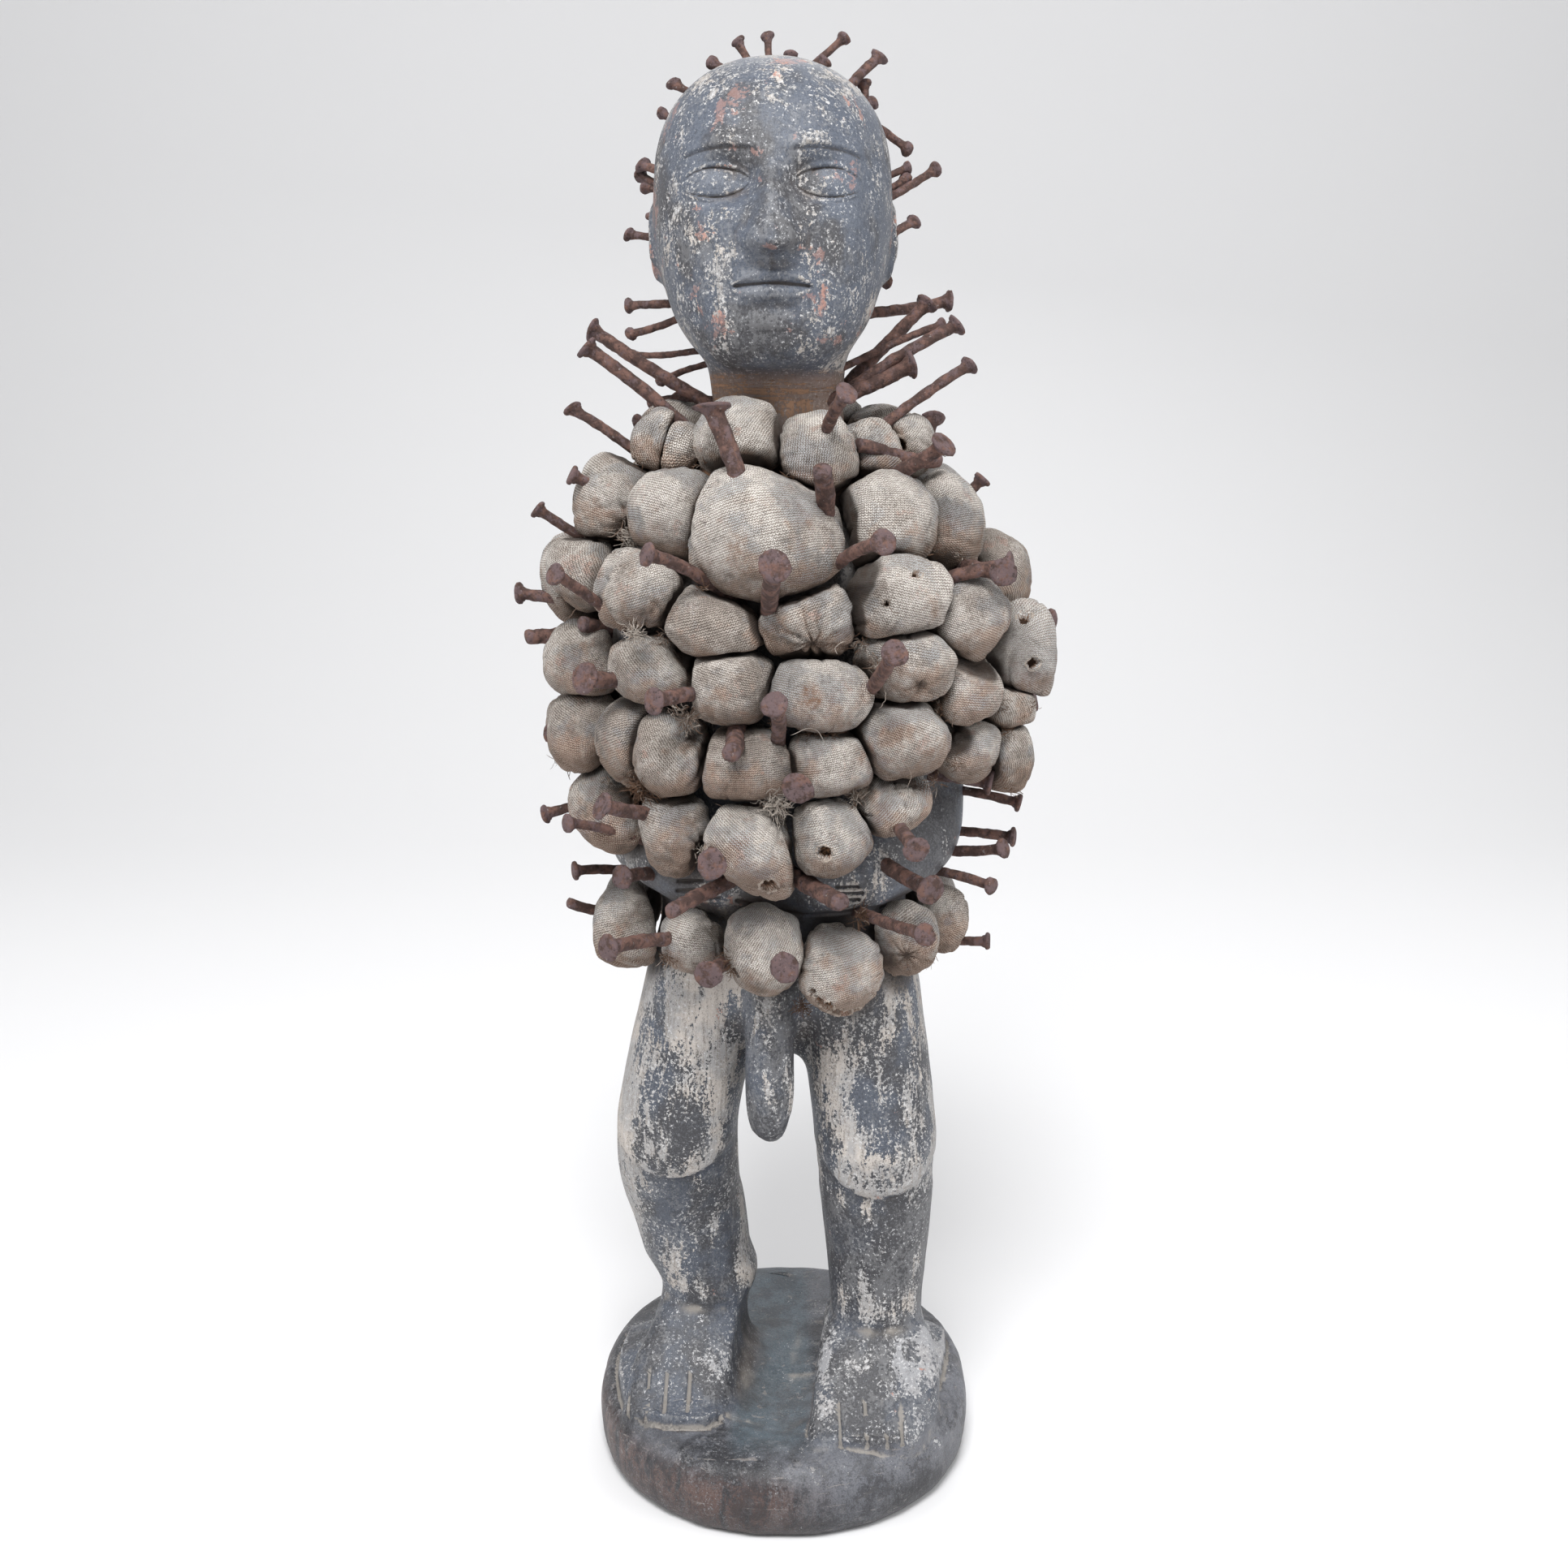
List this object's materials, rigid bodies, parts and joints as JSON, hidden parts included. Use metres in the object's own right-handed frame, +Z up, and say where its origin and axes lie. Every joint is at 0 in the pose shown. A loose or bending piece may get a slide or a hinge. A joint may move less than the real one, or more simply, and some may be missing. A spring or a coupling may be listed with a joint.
{
  "type": "nkisi nkondi figure",
  "caption": "Carved wooden standing figure on its own round base, its body wrapped in rows of stuffed cloth bundles and driven with rusted iron nails.",
  "frame": {"origin": "middle of the base's flat underside", "axes": "+Z up through the figure; the figure faces -Y; +X is the figure's own left, at the right of the picture"},
  "size_m": [0.3595, 0.3191, 0.9686],
  "materials": {
    "wood": "carved, dark grey-black paint worn and chipped to pale grey",
    "cloth": "dusty grey-beige knitted cloth, stuffed, stained pink and brown",
    "iron": "maroon-brown rust, rough"
  },
  "bodies": {
    "root": {"belly_bundles_back": "cloth", "belly_bundles_front": "cloth", "belly_nail_01": "iron", "belly_nail_02": "iron", "belly_nail_03": "iron", "belly_nail_04": "iron", "belly_nail_05": "iron", "belly_nail_06": "iron", "belly_nail_07": "iron", "belly_nail_08": "iron", "belly_nail_09": "iron", "belly_nail_10": "iron", "belly_nail_11": "iron", "belly_nail_12": "iron", "belly_nail_13": "iron", "belt_bundles_back": "cloth", "belt_bundles_front": "cloth", "chest_bundles_back": "cloth", "chest_bundles_front": "cloth", "chest_nail_01": "iron", "chest_nail_02": "iron", "chest_nail_03": "iron", "chest_nail_04": "iron", "chest_nail_05": "iron", "chest_nail_06": "iron", "chest_nail_07": "iron", "chest_nail_08": "iron", "chest_nail_09": "iron", "chest_nail_10": "iron", "chest_nail_11": "iron", "chest_nail_12": "iron", "collar_bundles_back": "cloth", "collar_bundles_front": "cloth", "figure": "wood", "head_nail_01": "iron", "head_nail_02": "iron", "head_nail_03": "iron", "head_nail_04": "iron", "head_nail_05": "iron", "head_nail_06": "iron", "head_nail_07": "iron", "head_nail_08": "iron", "head_nail_09": "iron", "head_nail_10": "iron", "neck_nail_01": "iron", "neck_nail_02": "iron", "neck_nail_03": "iron", "neck_nail_04": "iron", "neck_nail_05": "iron", "neck_nail_06": "iron", "neck_nail_07": "iron", "neck_nail_08": "iron", "neck_nail_09": "iron", "neck_nail_10": "iron", "ribs_bundles_back": "cloth", "ribs_bundles_front": "cloth", "shoulder_bundles_back": "cloth", "shoulder_bundles_front": "cloth", "waist_bundles_back": "cloth", "waist_bundles_front": "cloth"}
  },
  "joints": []
}
